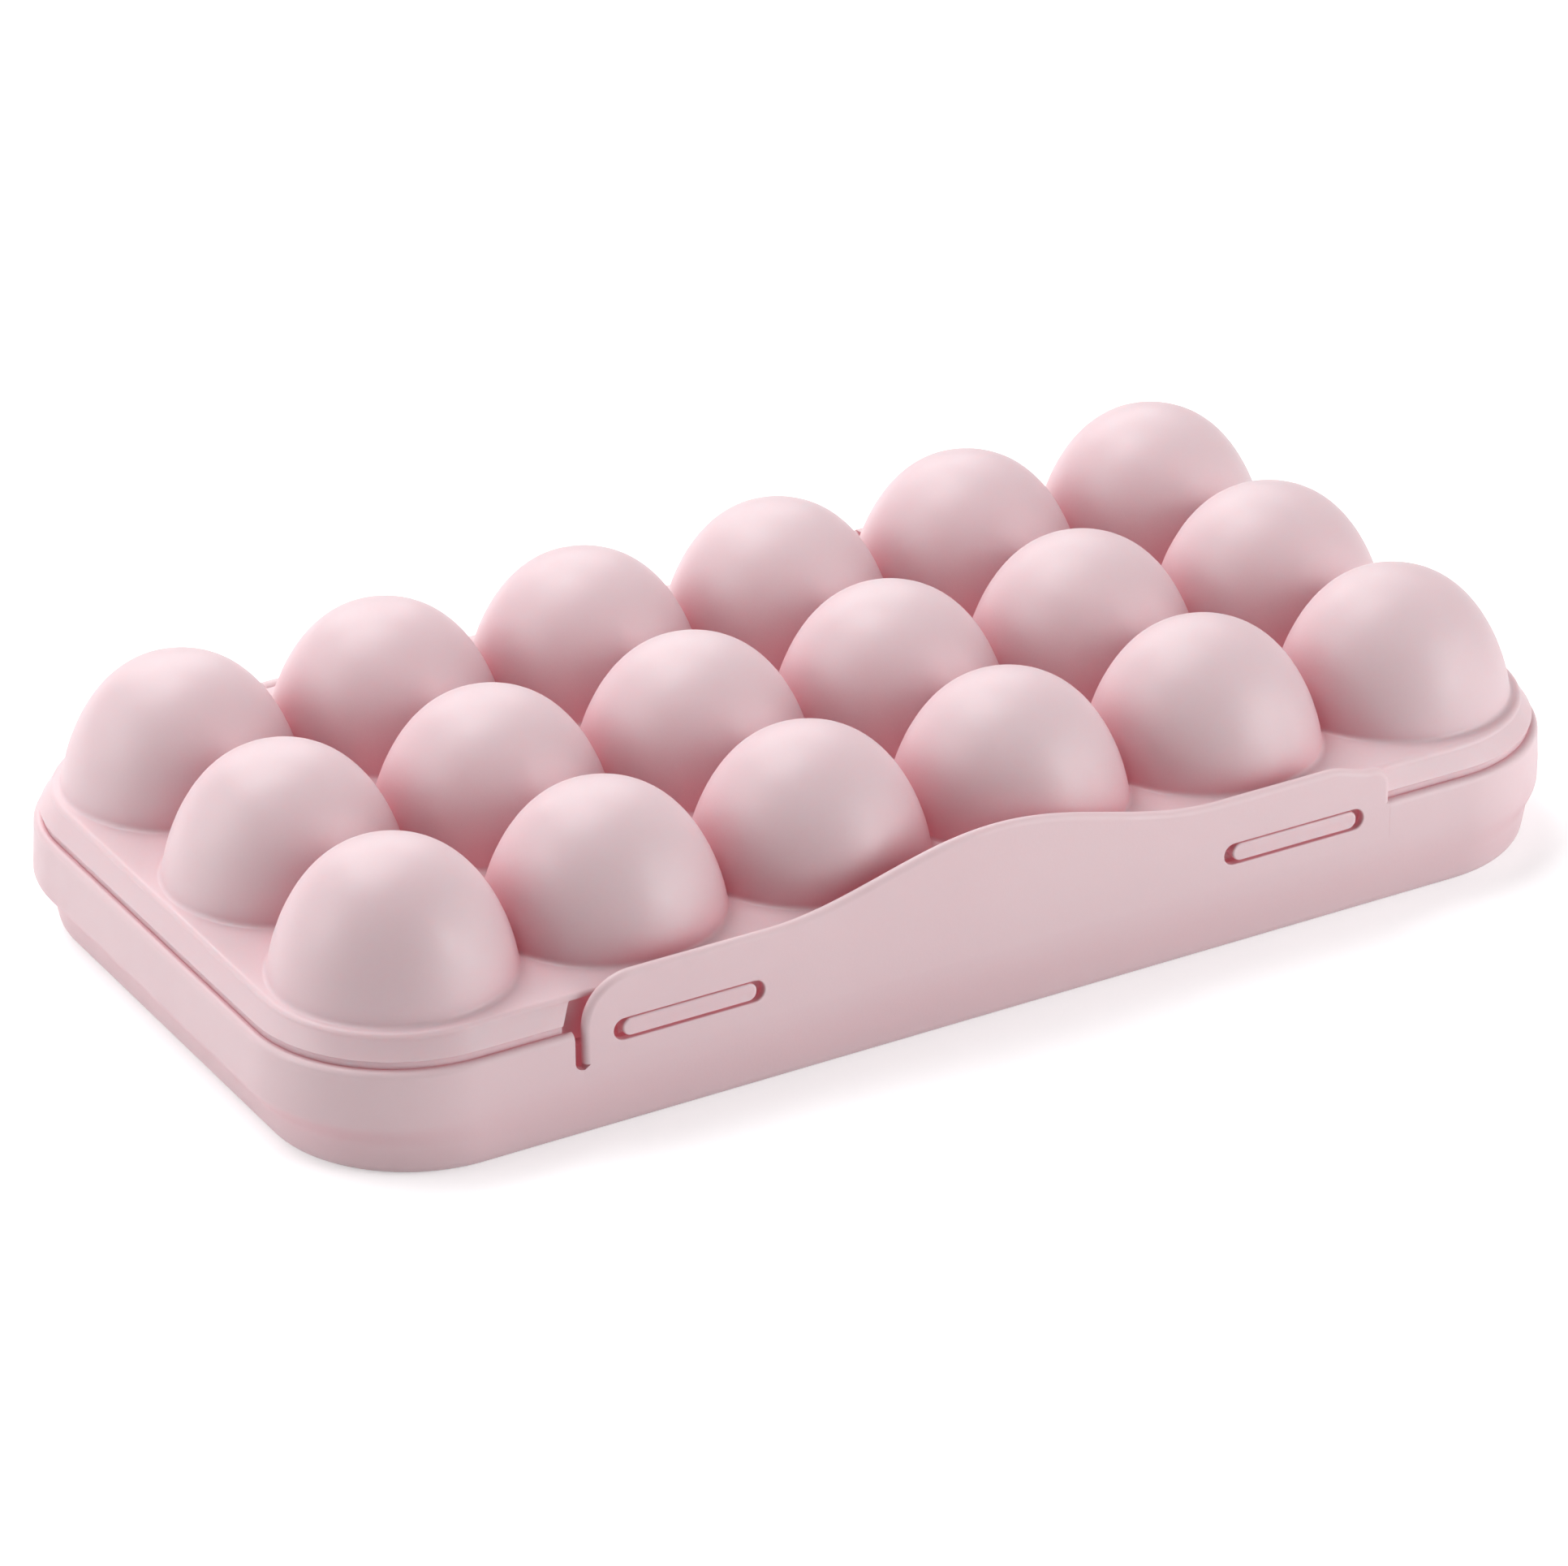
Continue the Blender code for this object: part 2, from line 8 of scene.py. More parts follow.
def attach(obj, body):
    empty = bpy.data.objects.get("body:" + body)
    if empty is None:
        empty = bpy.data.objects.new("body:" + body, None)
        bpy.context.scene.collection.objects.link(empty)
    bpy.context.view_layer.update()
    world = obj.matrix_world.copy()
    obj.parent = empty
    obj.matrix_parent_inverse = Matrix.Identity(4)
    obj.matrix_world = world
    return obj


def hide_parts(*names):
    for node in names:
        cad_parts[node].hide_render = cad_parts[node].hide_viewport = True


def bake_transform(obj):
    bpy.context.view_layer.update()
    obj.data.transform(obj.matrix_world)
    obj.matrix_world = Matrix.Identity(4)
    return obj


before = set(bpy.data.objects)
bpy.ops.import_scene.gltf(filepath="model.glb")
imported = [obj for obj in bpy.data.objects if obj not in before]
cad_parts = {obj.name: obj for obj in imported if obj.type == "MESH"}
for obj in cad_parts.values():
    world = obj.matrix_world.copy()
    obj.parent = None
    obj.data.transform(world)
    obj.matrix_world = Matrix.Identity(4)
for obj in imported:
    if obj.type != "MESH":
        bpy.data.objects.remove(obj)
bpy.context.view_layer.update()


# The tray is one injection-moulded shell of satin polypropylene, two millimetres thick. A rim band flares
# down and stands proud of the lower wall at the ends and the back; the front wall runs down flat, so that
# the latch panel can bend in it. Two pairs of hinge ears are moulded on the back.
half_l, half_w, rim_r = 0.1645, 0.0875, 0.037
tray_h, tray_wall, lip_r, inner_lip_r = 0.0266, 0.002, 0.0016, 0.00015
latch_x, latch_half = 0.0018, 0.1042
slit_foot_z, panel_foot_z, bend_z = 0.0174, 0.0150, 0.0176
open_slit, hairline, slit_end_r = 0.0023, 0.00003, 0.0020
front_lean = 0.0015
hinge_x, hinge_y, hinge_z = 0.078, 0.0911, 0.02755
knuckle_r, knuckle_w, ear_w, hinge_gap = 0.003, 0.014, 0.005, 0.0004
pin_hole_r, pin_hole_l, leaf_edge_r, root_size = 0.0014, 0.032, 0.0003, 0.0002
ear_root_y, ear_root_low, ear_root_high = half_w - 0.001, 0.0178, 0.0249
tiny, overrun = 0.000003, 0.004


def new_mesh(name):
    """An empty mesh at the origin, open for editing."""
    if bpy.context.mode != "OBJECT":
        bpy.ops.object.mode_set(mode="OBJECT")
    bpy.ops.object.select_all(action="DESELECT")
    bpy.ops.object.add(type="MESH", enter_editmode=True)
    bpy.ops.mesh.select_mode(type="VERT")
    bpy.context.object.name = name
    return bpy.context.object


def select(kind, test):
    """Selects the vertices, edges or faces being edited that pass the test of (middle, element)."""
    bpy.ops.mesh.select_all(action="DESELECT")
    bpy.context.tool_settings.mesh_select_mode = (kind == "verts", kind == "edges", kind == "faces")
    mesh = bmesh.from_edit_mesh(bpy.context.edit_object.data)
    for part in {"verts": mesh.verts, "edges": mesh.edges, "faces": mesh.faces}[kind]:
        corners = [part] if kind == "verts" else part.verts
        middle = sum((corner.co for corner in corners), Vector()) / len(corners)
        if test(middle, part):
            part.select_set(True)
    bmesh.update_edit_mesh(bpy.context.edit_object.data)


def inset_of(point):
    """How far a point lies inside the rim band's outline, seen from above."""
    x, y = abs(point.x) - (half_l - rim_r), abs(point.y) - (half_w - rim_r)
    return rim_r - (math.hypot(x, y) if x > 0 and y > 0 else max(x, y))


def ring(z, end_inset, front_inset, radius):
    """Adds a rounded rectangle's outline: a plane brought to size, with its corners bevelled round."""
    front, back = front_inset - half_w, half_w - end_inset
    bpy.ops.mesh.primitive_plane_add(size=1)
    bpy.ops.transform.resize(value=(2 * (half_l - end_inset), back - front, 1))
    bpy.ops.transform.translate(value=(0, (front + back) / 2, z))
    bpy.ops.mesh.bevel(offset=radius, segments=24, profile=0.5, affect="VERTICES")
    bpy.ops.mesh.select_all(action="SELECT")
    bpy.ops.mesh.delete(type="ONLY_FACE")


def close_up(merge=0.000005):
    """Merges what touches and turns every face outwards."""
    bpy.ops.mesh.select_all(action="SELECT")
    bpy.ops.mesh.remove_doubles(threshold=merge)
    bpy.ops.mesh.normals_make_consistent(inside=False)


def finished(obj, angle=32):
    """Leaves edit mode, shades the piece smooth and evens its normals over the small roundings."""
    if bpy.context.mode != "OBJECT":
        bpy.ops.object.mode_set(mode="OBJECT")
    bpy.ops.object.select_all(action="DESELECT")
    obj.select_set(True)
    bpy.context.view_layer.objects.active = obj
    bpy.ops.object.shade_smooth_by_angle(angle=math.radians(angle))
    even = obj.modifiers.new("even", "WEIGHTED_NORMAL")
    even.weight = 90
    even.keep_sharp = True
    bpy.ops.object.modifier_apply(modifier=even.name)
    obj.data.materials.clear()
    for face in obj.data.polygons:
        face.material_index = 0
    return obj


def apply_boolean(obj, operation, tool):
    """Joins or cuts a piece with another mesh, which is used up."""
    if bpy.context.mode != "OBJECT":
        bpy.ops.object.mode_set(mode="OBJECT")
    bpy.ops.object.select_all(action="DESELECT")
    bpy.context.view_layer.objects.active = obj
    obj.select_set(True)
    modifier = obj.modifiers.new("shape", "BOOLEAN")
    modifier.operation = operation
    modifier.object = tool
    modifier.solver = "MANIFOLD"
    bpy.ops.object.modifier_apply(modifier=modifier.name)
    bpy.data.objects.remove(tool)


def block(name, low, high):
    """A box between two corners, left open for editing."""
    obj = new_mesh(name)
    bpy.ops.mesh.primitive_cube_add(size=1)
    bpy.ops.transform.resize(value=[b - a for a, b in zip(low, high)])
    bpy.ops.transform.translate(value=[(a + b) / 2 for a, b in zip(low, high)])
    return obj


def hinge_leaf(name, x, width, roots):
    """A hinge ear or knuckle: a rod on the hinge axis and its roots on the wall, drawn tight by a hull."""
    obj = new_mesh(name)
    bpy.ops.mesh.primitive_cylinder_add(
        vertices=48, radius=knuckle_r, depth=width,
        rotation=(0, math.pi / 2, 0), location=(x, hinge_y, hinge_z))
    for y, z in roots:
        bpy.ops.mesh.primitive_cube_add(size=1)
        bpy.ops.transform.resize(value=(width, root_size, root_size))
        bpy.ops.transform.translate(value=(x, y, z))
    bpy.ops.mesh.select_all(action="SELECT")
    bpy.ops.mesh.convex_hull()
    close_up()
    bpy.ops.mesh.select_all(action="SELECT")
    bpy.ops.mesh.dissolve_limited(angle_limit=math.radians(1))
    select("edges", lambda middle, edge: edge.calc_face_angle(0) > 1.2 and all(
        abs(abs(v.co.x - x) - width / 2) < tiny for v in edge.verts))
    bpy.ops.mesh.bevel(offset=leaf_edge_r, segments=2, affect="EDGES")
    bpy.ops.object.mode_set(mode="OBJECT")
    return obj


def pin_bore(x):
    """A cutter for the pin's hole through one hinge."""
    obj = new_mesh("bore")
    bpy.ops.mesh.primitive_cylinder_add(
        vertices=40, radius=pin_hole_r, depth=pin_hole_l,
        rotation=(0, math.pi / 2, 0), location=(x, hinge_y, hinge_z))
    bpy.ops.object.mode_set(mode="OBJECT")
    return obj


tray = new_mesh("egg_tray")
foot_r, step_inset, step_top, step_h = 0.0025, 0.0034, 0.0138, 0.0072
band_flare, lower_lean, corner_loss = 0.0006, 0.0010, 0.003
tray_rings = [foot_r * (1 - math.cos(math.radians(turn))) for turn in range(0, 91, 15)]
tray_rings += [step_top - step_h + step_h * k / 14 for k in range(15)]
tray_rings += [panel_foot_z, bend_z, tray_h]
for z in tray_rings:
    share = min(max((step_top - z) / step_h, 0), 1)
    rounding = foot_r - math.sqrt(max(foot_r ** 2 - max(foot_r - z, 0) ** 2, 0))
    step = (step_inset + band_flare) * (1 - math.cos(math.pi * share)) / 2
    flare = band_flare * min((tray_h - z) / (tray_h - step_top), 1)
    step += lower_lean * max(1 - z / (step_top - step_h), 0) - flare
    lean = front_lean * max(1 - z / bend_z, 0)
    ring(z, step + rounding, lean + rounding, rim_r - corner_loss * share - rounding)
for low, high in zip(tray_rings, tray_rings[1:]):
    select("edges", lambda middle, edge: all(
        min(abs(v.co.z - low), abs(v.co.z - high)) < tiny for v in edge.verts))
    bpy.ops.mesh.bridge_edge_loops()
select("edges", lambda middle, edge: all(abs(v.co.z) < tiny for v in edge.verts))
bpy.ops.mesh.edge_face_add()
close_up()
bpy.ops.object.mode_set(mode="OBJECT")
thicken = tray.modifiers.new("wall", "SOLIDIFY")
thicken.thickness = tray_wall
thicken.offset = -1
thicken.use_even_offset = True
bpy.ops.object.modifier_apply(modifier=thicken.name)
bpy.ops.object.mode_set(mode="EDIT")
for depth, rounding, segments in ((0.0, lip_r, 6), (tray_wall, inner_lip_r, 2)):
    select("edges", lambda middle, edge: abs(middle.z - tray_h) < tiny
           and all(abs(inset_of(v.co) - depth) < 0.0001 for v in edge.verts))
    bpy.ops.mesh.bevel(offset=rounding, segments=segments, affect="EDGES")

for side in (-1, 1):
    for end in (-1, 1):
        place = side * hinge_x + end * (knuckle_w / 2 + hinge_gap + ear_w / 2)
        roots = ((ear_root_y, ear_root_low), (ear_root_y, ear_root_high))
        apply_boolean(tray, "UNION", hinge_leaf("ear", place, ear_w, roots))
    apply_boolean(tray, "DIFFERENCE", pin_bore(side * hinge_x))

# the latch panel's place in the front wall, with an open slit on its left and a hairline on its right
for left, right, low in (
    (latch_x - latch_half, latch_x + latch_half, panel_foot_z),
    (latch_x - latch_half - open_slit, latch_x - latch_half, slit_foot_z),
    (latch_x + latch_half, latch_x + latch_half + hairline, slit_foot_z),
):
    window = block("window", (left, -half_w - overrun, low),
                   (right, -half_w + tray_wall + overrun, tray_h + overrun))
    if right < 0:
        select("edges", lambda middle, edge: abs(middle.z - low) < tiny and abs(middle.x - left) < tiny)
        bpy.ops.mesh.bevel(offset=slit_end_r, segments=8, affect="EDGES")
    apply_boolean(tray, "DIFFERENCE", window)
finished(tray)


# All the pink pieces have a satin mould finish: hardly any grain, clouds of slightly paler plastic where it
# flowed, and a shine that changes a little where the mould was worn. The plastic lets some light through.
# Hollows and slits are also given painted shade, a deeper, warmer rose instead of grey, and the narrowest
# slits a faint painted glow.
def moulded_finish_and_painted_shade():
    """The shader group for moulded polypropylene: its colour with painted shade in hollows, a painted glow
    in slits, roughness and grain height.
    """
    group = bpy.data.node_groups.new("moulded_finish_and_painted_shade", "ShaderNodeTree")
    for name, kind, value in (("Colour", "NodeSocketColor", (0.7, 0.4, 0.45, 1)),
                              ("Pale Colour", "NodeSocketColor", (0.8, 0.5, 0.55, 1)),
                              ("Painted Shade Colour", "NodeSocketColor", (0.5, 0.2, 0.24, 1)),
                              ("Glow Colour", "NodeSocketColor", (0.2, 0.05, 0.06, 1)),
                              ("Cloud Scale", "NodeSocketFloat", 14.0),
                              ("Grain Scale", "NodeSocketFloat", 1500.0),
                              ("Smoothest", "NodeSocketFloat", 0.36),
                              ("Roughest", "NodeSocketFloat", 0.46)):
        socket = group.interface.new_socket(name, in_out="INPUT", socket_type=kind)
        socket.default_value = value
    for name, kind in (("Colour", "NodeSocketColor"), ("Glow", "NodeSocketColor"),
                       ("Roughness", "NodeSocketFloat"), ("Height", "NodeSocketFloat")):
        group.interface.new_socket(name, in_out="OUTPUT", socket_type=kind)
    nodes, links = group.nodes, group.links
    given, result = nodes.new("NodeGroupInput"), nodes.new("NodeGroupOutput")
    place = nodes.new("ShaderNodeTexCoord")
    clouds, shine, grain = (nodes.new("ShaderNodeTexNoise") for _ in range(3))
    clouds.inputs["Detail"].default_value = 3
    shine.inputs["Scale"].default_value = 160
    shine.inputs["Detail"].default_value = 4
    grain.inputs["Detail"].default_value = 2
    for noise in (clouds, shine, grain):
        links.new(place.outputs["Object"], noise.inputs["Vector"])
    links.new(given.outputs["Cloud Scale"], clouds.inputs["Scale"])
    links.new(given.outputs["Grain Scale"], grain.inputs["Scale"])
    soft = nodes.new("ShaderNodeMapRange")
    soft.interpolation_type = "SMOOTHSTEP"
    soft.inputs["From Min"].default_value = 0.3
    soft.inputs["From Max"].default_value = 0.7
    links.new(clouds.outputs["Fac"], soft.inputs["Value"])
    tint = nodes.new("ShaderNodeMix")
    tint.data_type = "RGBA"
    links.new(soft.outputs["Result"], tint.inputs["Factor"])
    links.new(given.outputs["Colour"], tint.inputs["A"])
    links.new(given.outputs["Pale Colour"], tint.inputs["B"])
    # painted shade: the more a place is shut in, the deeper rose it is painted, but not down at the ground,
    # which shuts in too
    hollow, depth = nodes.new("ShaderNodeAmbientOcclusion"), nodes.new("ShaderNodeMapRange")
    hollow.samples = 4
    hollow.inputs["Distance"].default_value = 0.030
    depth.interpolation_type = "SMOOTHSTEP"
    depth.inputs["From Min"].default_value = 0.86
    depth.inputs["From Max"].default_value = 0.05
    links.new(hollow.outputs["AO"], depth.inputs["Value"])
    axes, above = nodes.new("ShaderNodeSeparateXYZ"), nodes.new("ShaderNodeMapRange")
    above.inputs["From Min"].default_value = 0.001
    above.inputs["From Max"].default_value = 0.012
    links.new(place.outputs["Object"], axes.inputs["Vector"])
    links.new(axes.outputs["Z"], above.inputs["Value"])
    links.new(above.outputs["Result"], depth.inputs["To Max"])
    painted_shade_mix = nodes.new("ShaderNodeMix")
    painted_shade_mix.data_type = "RGBA"
    links.new(depth.outputs["Result"], painted_shade_mix.inputs["Factor"])
    links.new(tint.outputs["Result"], painted_shade_mix.inputs["A"])
    links.new(given.outputs["Painted Shade Colour"], painted_shade_mix.inputs["B"])
    links.new(painted_shade_mix.outputs["Result"], result.inputs["Colour"])
    # painted glow: the narrowest slits get a faint rose emission that stands in for light coming through the
    # wall
    inside, through = nodes.new("ShaderNodeMapRange"), nodes.new("ShaderNodeMix")
    inside.interpolation_type = "SMOOTHSTEP"
    inside.inputs["From Min"].default_value = 0.28
    inside.inputs["From Max"].default_value = 0.04
    links.new(hollow.outputs["AO"], inside.inputs["Value"])
    links.new(above.outputs["Result"], inside.inputs["To Max"])
    through.data_type = "RGBA"
    through.inputs["A"].default_value = (0, 0, 0, 1)
    links.new(inside.outputs["Result"], through.inputs["Factor"])
    links.new(given.outputs["Glow Colour"], through.inputs["B"])
    links.new(through.outputs["Result"], result.inputs["Glow"])
    satin = nodes.new("ShaderNodeMapRange")
    satin.inputs["From Min"].default_value = 0.3
    satin.inputs["From Max"].default_value = 0.7
    links.new(shine.outputs["Fac"], satin.inputs["Value"])
    links.new(given.outputs["Smoothest"], satin.inputs["To Min"])
    links.new(given.outputs["Roughest"], satin.inputs["To Max"])
    links.new(satin.outputs["Result"], result.inputs["Roughness"])
    links.new(grain.outputs["Fac"], result.inputs["Height"])
    return group


finish_and_shade_group = moulded_finish_and_painted_shade()
# the painted shade colour for hollows and the painted glow colour for the narrowest slits
painted_shade_pink, painted_glow_pink = (0.66, 0.31, 0.35, 1), (0.15, 0.042, 0.052, 1)


def pink_plastic(name, colour, pale, smoothest, roughest, grain, depth, through):
    """A satin pink polypropylene with its own colours, shine, grain and share of light let through, with
    painted shade in hollows and a painted glow in slits.
    """
    material = bpy.data.materials.new(name)
    material.use_nodes = True
    nodes, links = material.node_tree.nodes, material.node_tree.links
    shader = nodes["Principled BSDF"]
    finish = nodes.new("ShaderNodeGroup")
    finish.node_tree = finish_and_shade_group
    finish.inputs["Colour"].default_value = (*colour, 1)
    finish.inputs["Pale Colour"].default_value = (*pale, 1)
    # painted shade for the hollows and painted glow for the slits
    finish.inputs["Painted Shade Colour"].default_value = painted_shade_pink
    finish.inputs["Glow Colour"].default_value = painted_glow_pink
    finish.inputs["Smoothest"].default_value = smoothest
    finish.inputs["Roughest"].default_value = roughest
    finish.inputs["Grain Scale"].default_value = grain
    bump = nodes.new("ShaderNodeBump")
    bump.inputs["Strength"].default_value = 0.25
    bump.inputs["Distance"].default_value = depth
    links.new(finish.outputs["Colour"], shader.inputs["Base Color"])
    # the painted glow of the slits goes in as emission
    links.new(finish.outputs["Glow"], shader.inputs["Emission Color"])
    links.new(finish.outputs["Roughness"], shader.inputs["Roughness"])
    links.new(finish.outputs["Height"], bump.inputs["Height"])
    links.new(bump.outputs["Normal"], shader.inputs["Normal"])
    shader.inputs["Emission Strength"].default_value = 1.0
    shader.inputs["IOR"].default_value = 1.49
    shader.inputs["Specular IOR Level"].default_value = 0.6
    shader.inputs["Subsurface Weight"].default_value = through
    shader.inputs["Subsurface Radius"].default_value = (1.0, 0.4, 0.35)
    shader.inputs["Subsurface Scale"].default_value = 0.004
    return material


tray_pink = pink_plastic(
    "tray_pink", (0.780, 0.580, 0.610), (0.795, 0.603, 0.630), smoothest=0.40, roughest=0.50,
    grain=1500, depth=0.00006, through=0.12)
tray.data.materials.append(tray_pink)
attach(tray, "tray")
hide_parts("base_tray")


# The rack is a thin moulded plate with a bowl for each of the eighteen eggs and a turned-down rim. It drops
# into the tray, stands on the feet of its bowls, and lifts out to be washed.
pitch, columns, rows = 0.052, 6, 3
rack_z, rack_wall, rack_inset, rack_rim_h = 0.0214, 0.0014, 0.0049, 0.006
cup_r, cup_foot_r, rack_foot_z, mouth_r = 0.0232, 0.009, 0.0023, 0.0008
inner_r = 0.0004
egg_places = [((column - (columns - 1) / 2) * pitch, (row - (rows - 1) / 2) * pitch)
              for row in range(rows) for column in range(columns)]


def draw(points):
    """Draws a line through points by extruding one vertex from each to the next."""
    bpy.ops.mesh.primitive_plane_add(size=0.001)
    bpy.ops.mesh.merge(type="CENTER")
    bpy.ops.transform.translate(value=points[0])
    for here, there in zip(points, points[1:]):
        move = [b - a for a, b in zip(here, there)]
        bpy.ops.mesh.extrude_vertices_move(TRANSFORM_OT_translate={"value": move})


def spun(name, points, steps, center=(0, 0, 0), axis=(0, 0, 1)):
    """A turned skin: a profile of (x, y, z) points spun once round the axis."""
    obj = new_mesh(name)
    draw(points)
    bpy.ops.mesh.select_all(action="SELECT")
    bpy.ops.mesh.spin(steps=steps, angle=2 * math.pi, center=center, axis=axis)
    bpy.ops.mesh.select_all(action="SELECT")
    bpy.ops.mesh.remove_doubles(threshold=0.000002)
    bpy.ops.object.mode_set(mode="OBJECT")
    return obj


def at_each_egg(first):
    """Copies a skin to every egg's place, each with its own mesh; the first takes the first place."""
    copies = [first]
    for _ in egg_places[1:]:
        obj = first.copy()
        obj.data = first.data.copy()
        bpy.context.scene.collection.objects.link(obj)
        copies.append(obj)
    for obj, (x, y) in zip(copies, egg_places):
        bpy.ops.object.select_all(action="DESELECT")
        bpy.context.view_layer.objects.active = obj
        obj.select_set(True)
        bpy.ops.object.mode_set(mode="EDIT")
        bpy.ops.mesh.select_all(action="SELECT")
        bpy.ops.transform.translate(value=(x, y, 0))
        bpy.ops.object.mode_set(mode="OBJECT")
    return copies


def join(objects):
    """Makes several meshes one and opens it for editing."""
    bpy.ops.object.select_all(action="DESELECT")
    for obj in objects:
        obj.select_set(True)
    bpy.context.view_layer.objects.active = objects[0]
    bpy.ops.object.join()
    bpy.ops.object.mode_set(mode="EDIT")
    return bpy.context.object


def skin(rings):
    """Adds rounded rectangles of (inset, height) and joins each one to the next with faces."""
    for inset, z in rings:
        ring(z, inset, inset, rim_r - inset)
    for pair in zip(rings, rings[1:]):
        select("edges", lambda middle, edge: all(
            any(abs(v.co.z - z) < tiny and abs(inset_of(v.co) - inset) < tiny for inset, z in pair)
            for v in edge.verts))
        if abs(pair[0][1] - pair[1][1]) < tiny:
            bpy.ops.mesh.fill(use_beauty=True)
        else:
            bpy.ops.mesh.bridge_edge_loops()


def fill_level(z):
    """Fills the sheet between all the open edges at one height."""
    select("edges", lambda middle, edge: edge.is_boundary
           and all(abs(v.co.z - z) < tiny for v in edge.verts))
    bpy.ops.mesh.fill(use_beauty=True)


def cup_line(radius, top, foot, rounding):
    """Profile of a bowl from its foot's middle up its side, with a rounded mouth."""
    depth = top - foot
    points = [(0, 0, foot), (cup_foot_r * 0.5, 0, foot)]
    for step in range(15):
        turn = math.radians(90 * step / 14)
        reach = cup_foot_r + (radius - cup_foot_r) * math.sin(turn)
        points.append((reach, 0, foot + depth * (1 - math.cos(turn))))
    points = [p for p in points if p[2] < top - rounding - tiny]
    for step in range(5):
        turn = math.radians(90 * step / 4)
        points.append((radius + rounding * (1 - math.cos(turn)), 0, top - rounding * (1 - math.sin(turn))))
    return points


rack = new_mesh("egg_rack_plate")
turns = [math.radians(turn) for turn in (90, 67, 45, 22, 0)]
rings = [(rack_inset + mouth_r * (1 - math.cos(t)), rack_z - mouth_r * (1 - math.sin(t))) for t in turns]
rings += [(rack_inset, rack_z - rack_rim_h), (rack_inset + rack_wall, rack_z - rack_rim_h)]
rings += [(rack_inset + rack_wall, rack_z - rack_wall - inner_r)]
rings += [(rack_inset + rack_wall + inner_r, rack_z - rack_wall)]
skin(rings)
bpy.ops.object.mode_set(mode="OBJECT")
bowls = at_each_egg(spun("bowl", cup_line(cup_r, rack_z, rack_foot_z + rack_wall, mouth_r), 56))
join([rack] + bowls)
close_up()
fill_level(rack_z)
bpy.ops.object.mode_set(mode="OBJECT")
bowls = at_each_egg(spun("bowl", cup_line(cup_r + rack_wall, rack_z - rack_wall, rack_foot_z, inner_r), 56))
join([rack] + bowls)
bpy.ops.mesh.select_all(action="SELECT")
bpy.ops.mesh.remove_doubles(threshold=0.000005)
fill_level(rack_z - rack_wall)
close_up()
finished(rack)
rack_pink = pink_plastic(
    "rack_pink", (0.780, 0.552, 0.588), (0.795, 0.577, 0.610), smoothest=0.56, roughest=0.66,
    grain=1300, depth=0.00006, through=0.12)
rack.data.materials.append(rack_pink)
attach(rack, "tray")
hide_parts("egg_rack")


# The latch panel is a springy flap of the tray's own front wall, moulded with it and freed by a slit at each
# end. Its top edge rises in one broad wave for the finger, and its two long slots catch the lid's lugs.
shoulder_z, crest_rise, crest_half, shoulder_r = 0.0384, 0.0101, 0.0585, 0.0118
fall_drop, fall_from, fall_to, eased_from = 0.0026, 0.0165, 0.0045, 0.0010
slot_z, slot_offset, slot_length, slot_h = 0.0246, 0.0782, 0.0374, 0.0052
top_edge_r, back_edge_r, slot_edge_r, lip_ease = 0.0015, 0.0003, 0.00035, 0.0004
bend_rows, bend_row_h = 11, 0.0004
panel = new_mesh("latch_panel_flap")
panel_left, panel_right = latch_x - latch_half, latch_x + latch_half
line = [(panel_left, panel_foot_z), (panel_right, panel_foot_z), (panel_right, slit_foot_z),
        (panel_right, tray_h - lip_ease), (panel_right, tray_h)]
for turn in range(0, 91, 15):
    line.append((panel_right - fall_to * (1 - math.cos(math.radians(turn))),
                 shoulder_z - fall_drop - fall_to * (1 - math.sin(math.radians(turn)))))
for step in range(1, 13):
    line.append((panel_right - fall_to - (fall_from - fall_to) * step / 12,
                 shoulder_z - fall_drop * (1 + math.cos(math.pi * step / 12)) / 2))
for step in range(61):
    across = 1 - step / 30
    rise = crest_rise * (1 + math.cos(math.pi * across)) / 2
    line.append((latch_x + crest_half * across, shoulder_z + rise))
for turn in range(90, 181, 6):
    line.append((panel_left + shoulder_r * (1 + math.cos(math.radians(turn))),
                 shoulder_z - shoulder_r * (1 - math.sin(math.radians(turn)))))
line += [(panel_left, slit_foot_z + eased_from), (panel_left, slit_foot_z)]
draw([(x, -half_w, z) for x, z in line])
bpy.ops.mesh.select_all(action="SELECT")
bpy.ops.mesh.edge_face_add()
bpy.ops.mesh.extrude_region_move(TRANSFORM_OT_translate={"value": (0, tray_wall, 0)})
close_up()
for face_y, rounding, segments in ((-half_w, top_edge_r, 6), (tray_wall - half_w, back_edge_r, 2)):
    select("edges", lambda middle, edge: all(abs(v.co.y - face_y) < tiny for v in edge.verts)
           and middle.z > slit_foot_z + eased_from and (middle.x < panel_right - tiny or middle.z > tray_h))
    bpy.ops.mesh.bevel(offset=rounding, segments=segments, affect="EDGES")


def rounded_slot(x, length, height, front_y, back_y):
    """A bar with half-round ends, long along the box: a block with its four long-end edges bevelled."""
    obj = block("slot", (x - length / 2, front_y, slot_z - height / 2),
                (x + length / 2, back_y, slot_z + height / 2))
    select("edges", lambda middle, edge: abs(edge.verts[0].co.y - edge.verts[1].co.y) > tiny)
    bpy.ops.mesh.bevel(offset=height / 2 - 0.00001, segments=14, affect="EDGES")
    return obj


